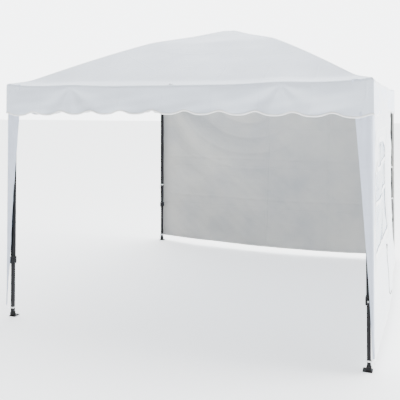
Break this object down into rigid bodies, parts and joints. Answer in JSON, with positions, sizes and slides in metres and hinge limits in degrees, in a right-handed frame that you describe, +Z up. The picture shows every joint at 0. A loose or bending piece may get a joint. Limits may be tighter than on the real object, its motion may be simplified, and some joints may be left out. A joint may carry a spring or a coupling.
{
  "type": "pop up gazebo",
  "caption": "Square pop-up gazebo with a folding scissor-truss frame, telescopic legs, domed pyramid canopy with scalloped valance, leg drapes and two side walls.",
  "frame": {"origin": "on the ground, at the centre of the square between the four legs", "axes": "+Z up; -Y is the open front, +X is the right side with the windowed wall, +Y is the rear with the plain wall"},
  "size_m": [3, 3, 2.53],
  "materials": {
    "frame_steel": "black powder coat, satin",
    "black_plastic": "moulded, matte",
    "button_plastic": "pale push button",
    "canopy_cloth": "white coated polyester",
    "wall_cloth": "white coated polyester side wall"
  },
  "bodies": {
    "hub": {"hub": "black_plastic", "canopy_roof": "canopy_cloth", "valance": "canopy_cloth"},
    "inner_arm_fr": {"inner_arm_fr": "frame_steel"},
    "outer_arm_fr": {"outer_arm_fr": "frame_steel"},
    "slider_fr": {"slider_fr": "black_plastic"},
    "slider_button_fr": {"slider_button_fr": "button_plastic"},
    "leg_fr": {"leg_outer_fr": "frame_steel", "upper_bracket_fr": "black_plastic", "drape_fr": "canopy_cloth"},
    "leg_button_fr": {"leg_button_fr": "button_plastic"},
    "lower_leg_fr": {"leg_inner_fr": "frame_steel", "foot_fr": "black_plastic"},
    "right_bar_fr_high": {"right_bar_fr_high": "frame_steel"},
    "right_bar_fr_low": {"right_bar_fr_low": "frame_steel"},
    "front_bar_fr_high": {"front_bar_fr_high": "frame_steel"},
    "front_bar_fr_low": {"front_bar_fr_low": "frame_steel"},
    "inner_arm_rr": {"inner_arm_rr": "frame_steel"},
    "outer_arm_rr": {"outer_arm_rr": "frame_steel"},
    "slider_rr": {"slider_rr": "black_plastic"},
    "slider_button_rr": {"slider_button_rr": "button_plastic"},
    "leg_rr": {"leg_outer_rr": "frame_steel", "upper_bracket_rr": "black_plastic", "right_wall": "wall_cloth"},
    "leg_button_rr": {"leg_button_rr": "button_plastic"},
    "lower_leg_rr": {"leg_inner_rr": "frame_steel", "foot_rr": "black_plastic"},
    "rear_bar_rr_high": {"rear_bar_rr_high": "frame_steel"},
    "rear_bar_rr_low": {"rear_bar_rr_low": "frame_steel"},
    "right_bar_rr_high": {"right_bar_rr_high": "frame_steel"},
    "right_bar_rr_low": {"right_bar_rr_low": "frame_steel"},
    "inner_arm_rl": {"inner_arm_rl": "frame_steel"},
    "outer_arm_rl": {"outer_arm_rl": "frame_steel"},
    "slider_rl": {"slider_rl": "black_plastic"},
    "slider_button_rl": {"slider_button_rl": "button_plastic"},
    "leg_rl": {"leg_outer_rl": "frame_steel", "upper_bracket_rl": "black_plastic", "rear_wall": "wall_cloth"},
    "leg_button_rl": {"leg_button_rl": "button_plastic"},
    "lower_leg_rl": {"leg_inner_rl": "frame_steel", "foot_rl": "black_plastic"},
    "left_bar_rl_high": {"left_bar_rl_high": "frame_steel"},
    "left_bar_rl_low": {"left_bar_rl_low": "frame_steel"},
    "rear_bar_rl_high": {"rear_bar_rl_high": "frame_steel"},
    "rear_bar_rl_low": {"rear_bar_rl_low": "frame_steel"},
    "inner_arm_fl": {"inner_arm_fl": "frame_steel"},
    "outer_arm_fl": {"outer_arm_fl": "frame_steel"},
    "slider_fl": {"slider_fl": "black_plastic"},
    "slider_button_fl": {"slider_button_fl": "button_plastic"},
    "leg_fl": {"leg_outer_fl": "frame_steel", "upper_bracket_fl": "black_plastic", "drape_fl": "canopy_cloth"},
    "leg_button_fl": {"leg_button_fl": "button_plastic"},
    "lower_leg_fl": {"leg_inner_fl": "frame_steel", "foot_fl": "black_plastic"},
    "front_bar_fl_high": {"front_bar_fl_high": "frame_steel"},
    "front_bar_fl_low": {"front_bar_fl_low": "frame_steel"},
    "left_bar_fl_high": {"left_bar_fl_high": "frame_steel"},
    "left_bar_fl_low": {"left_bar_fl_low": "frame_steel"}
  },
  "joints": [
    {"name": "fold", "type": "hinge", "parent": "hub", "child": "inner_arm_fr", "pos_m": [0.0502, -0.0502, 2.455], "axis": [-0.7071, -0.7071, 0], "range_deg": [0, 97.96], "deforming": ["canopy_roof", "valance", "rear_wall", "right_wall"]},
    {"name": "elbow_fr", "type": "hinge", "parent": "inner_arm_fr", "child": "outer_arm_fr", "pos_m": [0.58879, -0.58879, 2.322], "axis": [-0.7071, -0.7071, 0], "range_deg": [-158.47, 0]},
    {"name": "slider_level_fr", "type": "hinge", "parent": "outer_arm_fr", "child": "slider_fr", "pos_m": [1.41964, -1.41964, 1.735], "axis": [-0.7071, -0.7071, 0], "range_deg": [0, 60.51]},
    {"name": "right_low_pivot_fr", "type": "hinge", "parent": "slider_fr", "child": "right_bar_fr_low", "pos_m": [1.455, -1.38, 1.735], "axis": [1, 0, 0], "range_deg": [0, 79]},
    {"name": "right_cross_fr", "type": "hinge", "parent": "right_bar_fr_low", "child": "right_bar_fr_high", "pos_m": [1.455, -0.69, 1.83], "axis": [1, 0, 0], "range_deg": [-158, 0]},
    {"name": "right_high_pivot_fr", "type": "hinge", "parent": "right_bar_fr_high", "child": "leg_fr", "pos_m": [1.455, -1.38, 1.925], "axis": [1, 0, 0], "range_deg": [0, 79]},
    {"name": "front_low_pivot_fr", "type": "hinge", "parent": "slider_fr", "child": "front_bar_fr_low", "pos_m": [1.38, -1.455, 1.735], "axis": [0, 1, 0], "range_deg": [0, 79]},
    {"name": "front_cross_fr", "type": "hinge", "parent": "front_bar_fr_low", "child": "front_bar_fr_high", "pos_m": [0.69, -1.455, 1.83], "axis": [0, 1, 0], "range_deg": [-158, 0]},
    {"name": "leg_extend_fr", "type": "slide", "parent": "leg_fr", "child": "lower_leg_fr", "axis": [0, 0, 1], "range_m": [0, 0.36]},
    {"name": "leg_button_press_fr", "type": "slide", "parent": "leg_fr", "child": "leg_button_fr", "axis": [0, 1, 0], "range_m": [0, 0.004], "stiffness_N_per_m": 600, "springref_m": -0.002},
    {"name": "slider_button_press_fr", "type": "slide", "parent": "slider_fr", "child": "slider_button_fr", "axis": [0, 1, 0], "range_m": [0, 0.004], "stiffness_N_per_m": 600, "springref_m": -0.002},
    {"name": "inner_arm_fold_rr", "type": "hinge", "parent": "hub", "child": "inner_arm_rr", "pos_m": [0.0502, 0.0502, 2.455], "axis": [0.7071, -0.7071, 0], "range_deg": [0, 97.96]},
    {"name": "elbow_rr", "type": "hinge", "parent": "inner_arm_rr", "child": "outer_arm_rr", "pos_m": [0.58879, 0.58879, 2.322], "axis": [0.7071, -0.7071, 0], "range_deg": [-158.47, 0]},
    {"name": "slider_level_rr", "type": "hinge", "parent": "outer_arm_rr", "child": "slider_rr", "pos_m": [1.41964, 1.41964, 1.735], "axis": [0.7071, -0.7071, 0], "range_deg": [0, 60.51]},
    {"name": "rear_low_pivot_rr", "type": "hinge", "parent": "slider_rr", "child": "rear_bar_rr_low", "pos_m": [1.38, 1.455, 1.735], "axis": [0, 1, 0], "range_deg": [0, 79]},
    {"name": "rear_cross_rr", "type": "hinge", "parent": "rear_bar_rr_low", "child": "rear_bar_rr_high", "pos_m": [0.69, 1.455, 1.83], "axis": [0, 1, 0], "range_deg": [-158, 0]},
    {"name": "rear_high_pivot_rr", "type": "hinge", "parent": "rear_bar_rr_high", "child": "leg_rr", "pos_m": [1.38, 1.455, 1.925], "axis": [0, 1, 0], "range_deg": [0, 79]},
    {"name": "right_low_pivot_rr", "type": "hinge", "parent": "slider_rr", "child": "right_bar_rr_low", "pos_m": [1.455, 1.38, 1.735], "axis": [-1, 0, 0], "range_deg": [0, 79]},
    {"name": "right_cross_rr", "type": "hinge", "parent": "right_bar_rr_low", "child": "right_bar_rr_high", "pos_m": [1.455, 0.69, 1.83], "axis": [-1, 0, 0], "range_deg": [-158, 0]},
    {"name": "leg_extend_rr", "type": "slide", "parent": "leg_rr", "child": "lower_leg_rr", "axis": [0, 0, 1], "range_m": [0, 0.36]},
    {"name": "leg_button_press_rr", "type": "slide", "parent": "leg_rr", "child": "leg_button_rr", "axis": [-1, 0, 0], "range_m": [0, 0.004], "stiffness_N_per_m": 600, "springref_m": -0.002},
    {"name": "slider_button_press_rr", "type": "slide", "parent": "slider_rr", "child": "slider_button_rr", "axis": [-1, 0, 0], "range_m": [0, 0.004], "stiffness_N_per_m": 600, "springref_m": -0.002},
    {"name": "inner_arm_fold_rl", "type": "hinge", "parent": "hub", "child": "inner_arm_rl", "pos_m": [-0.0502, 0.0502, 2.455], "axis": [0.7071, 0.7071, 0], "range_deg": [0, 97.96]},
    {"name": "elbow_rl", "type": "hinge", "parent": "inner_arm_rl", "child": "outer_arm_rl", "pos_m": [-0.58879, 0.58879, 2.322], "axis": [0.7071, 0.7071, 0], "range_deg": [-158.47, 0]},
    {"name": "slider_level_rl", "type": "hinge", "parent": "outer_arm_rl", "child": "slider_rl", "pos_m": [-1.41964, 1.41964, 1.735], "axis": [0.7071, 0.7071, 0], "range_deg": [0, 60.51]},
    {"name": "left_low_pivot_rl", "type": "hinge", "parent": "slider_rl", "child": "left_bar_rl_low", "pos_m": [-1.455, 1.38, 1.735], "axis": [-1, 0, 0], "range_deg": [0, 79]},
    {"name": "left_cross_rl", "type": "hinge", "parent": "left_bar_rl_low", "child": "left_bar_rl_high", "pos_m": [-1.455, 0.69, 1.83], "axis": [-1, 0, 0], "range_deg": [-158, 0]},
    {"name": "left_high_pivot_rl", "type": "hinge", "parent": "left_bar_rl_high", "child": "leg_rl", "pos_m": [-1.455, 1.38, 1.925], "axis": [-1, 0, 0], "range_deg": [0, 79]},
    {"name": "rear_low_pivot_rl", "type": "hinge", "parent": "slider_rl", "child": "rear_bar_rl_low", "pos_m": [-1.38, 1.455, 1.735], "axis": [0, -1, 0], "range_deg": [0, 79]},
    {"name": "rear_cross_rl", "type": "hinge", "parent": "rear_bar_rl_low", "child": "rear_bar_rl_high", "pos_m": [-0.69, 1.455, 1.83], "axis": [0, -1, 0], "range_deg": [-158, 0]},
    {"name": "leg_extend_rl", "type": "slide", "parent": "leg_rl", "child": "lower_leg_rl", "axis": [0, 0, 1], "range_m": [0, 0.36]},
    {"name": "leg_button_press_rl", "type": "slide", "parent": "leg_rl", "child": "leg_button_rl", "axis": [0, -1, 0], "range_m": [0, 0.004], "stiffness_N_per_m": 600, "springref_m": -0.002},
    {"name": "slider_button_press_rl", "type": "slide", "parent": "slider_rl", "child": "slider_button_rl", "axis": [0, -1, 0], "range_m": [0, 0.004], "stiffness_N_per_m": 600, "springref_m": -0.002},
    {"name": "inner_arm_fold_fl", "type": "hinge", "parent": "hub", "child": "inner_arm_fl", "pos_m": [-0.0502, -0.0502, 2.455], "axis": [-0.7071, 0.7071, 0], "range_deg": [0, 97.96]},
    {"name": "elbow_fl", "type": "hinge", "parent": "inner_arm_fl", "child": "outer_arm_fl", "pos_m": [-0.58879, -0.58879, 2.322], "axis": [-0.7071, 0.7071, 0], "range_deg": [-158.47, 0]},
    {"name": "slider_level_fl", "type": "hinge", "parent": "outer_arm_fl", "child": "slider_fl", "pos_m": [-1.41964, -1.41964, 1.735], "axis": [-0.7071, 0.7071, 0], "range_deg": [0, 60.51]},
    {"name": "front_low_pivot_fl", "type": "hinge", "parent": "slider_fl", "child": "front_bar_fl_low", "pos_m": [-1.38, -1.455, 1.735], "axis": [0, -1, 0], "range_deg": [0, 79]},
    {"name": "front_cross_fl", "type": "hinge", "parent": "front_bar_fl_low", "child": "front_bar_fl_high", "pos_m": [-0.69, -1.455, 1.83], "axis": [0, -1, 0], "range_deg": [-158, 0]},
    {"name": "front_high_pivot_fl", "type": "hinge", "parent": "front_bar_fl_high", "child": "leg_fl", "pos_m": [-1.38, -1.455, 1.925], "axis": [0, -1, 0], "range_deg": [0, 79]},
    {"name": "left_low_pivot_fl", "type": "hinge", "parent": "slider_fl", "child": "left_bar_fl_low", "pos_m": [-1.455, -1.38, 1.735], "axis": [1, 0, 0], "range_deg": [0, 79]},
    {"name": "left_cross_fl", "type": "hinge", "parent": "left_bar_fl_low", "child": "left_bar_fl_high", "pos_m": [-1.455, -0.69, 1.83], "axis": [1, 0, 0], "range_deg": [-158, 0]},
    {"name": "leg_extend_fl", "type": "slide", "parent": "leg_fl", "child": "lower_leg_fl", "axis": [0, 0, 1], "range_m": [0, 0.36]},
    {"name": "leg_button_press_fl", "type": "slide", "parent": "leg_fl", "child": "leg_button_fl", "axis": [1, 0, 0], "range_m": [0, 0.004], "stiffness_N_per_m": 600, "springref_m": -0.002},
    {"name": "slider_button_press_fl", "type": "slide", "parent": "slider_fl", "child": "slider_button_fl", "axis": [1, 0, 0], "range_m": [0, 0.004], "stiffness_N_per_m": 600, "springref_m": -0.002}
  ],
  "couplings": [
    {"joint": "elbow_fr", "follows": "fold", "ratio": -1.6177},
    {"joint": "slider_level_fr", "follows": "fold", "ratio": 0.61774},
    {"joint": "right_low_pivot_fr", "follows": "fold", "ratio": 0.80645},
    {"joint": "right_cross_fr", "follows": "fold", "ratio": -1.6129},
    {"joint": "right_high_pivot_fr", "follows": "fold", "ratio": 0.80645},
    {"joint": "front_low_pivot_fr", "follows": "fold", "ratio": 0.80645},
    {"joint": "front_cross_fr", "follows": "fold", "ratio": -1.6129},
    {"joint": "inner_arm_fold_rr", "follows": "fold", "ratio": 1},
    {"joint": "elbow_rr", "follows": "fold", "ratio": -1.6177},
    {"joint": "slider_level_rr", "follows": "fold", "ratio": 0.61774},
    {"joint": "rear_low_pivot_rr", "follows": "fold", "ratio": 0.80645},
    {"joint": "rear_cross_rr", "follows": "fold", "ratio": -1.6129},
    {"joint": "rear_high_pivot_rr", "follows": "fold", "ratio": 0.80645},
    {"joint": "right_low_pivot_rr", "follows": "fold", "ratio": 0.80645},
    {"joint": "right_cross_rr", "follows": "fold", "ratio": -1.6129},
    {"joint": "inner_arm_fold_rl", "follows": "fold", "ratio": 1},
    {"joint": "elbow_rl", "follows": "fold", "ratio": -1.6177},
    {"joint": "slider_level_rl", "follows": "fold", "ratio": 0.61774},
    {"joint": "left_low_pivot_rl", "follows": "fold", "ratio": 0.80645},
    {"joint": "left_cross_rl", "follows": "fold", "ratio": -1.6129},
    {"joint": "left_high_pivot_rl", "follows": "fold", "ratio": 0.80645},
    {"joint": "rear_low_pivot_rl", "follows": "fold", "ratio": 0.80645},
    {"joint": "rear_cross_rl", "follows": "fold", "ratio": -1.6129},
    {"joint": "inner_arm_fold_fl", "follows": "fold", "ratio": 1},
    {"joint": "elbow_fl", "follows": "fold", "ratio": -1.6177},
    {"joint": "slider_level_fl", "follows": "fold", "ratio": 0.61774},
    {"joint": "front_low_pivot_fl", "follows": "fold", "ratio": 0.80645},
    {"joint": "front_cross_fl", "follows": "fold", "ratio": -1.6129},
    {"joint": "front_high_pivot_fl", "follows": "fold", "ratio": 0.80645},
    {"joint": "left_low_pivot_fl", "follows": "fold", "ratio": 0.80645},
    {"joint": "left_cross_fl", "follows": "fold", "ratio": -1.6129}
  ]
}
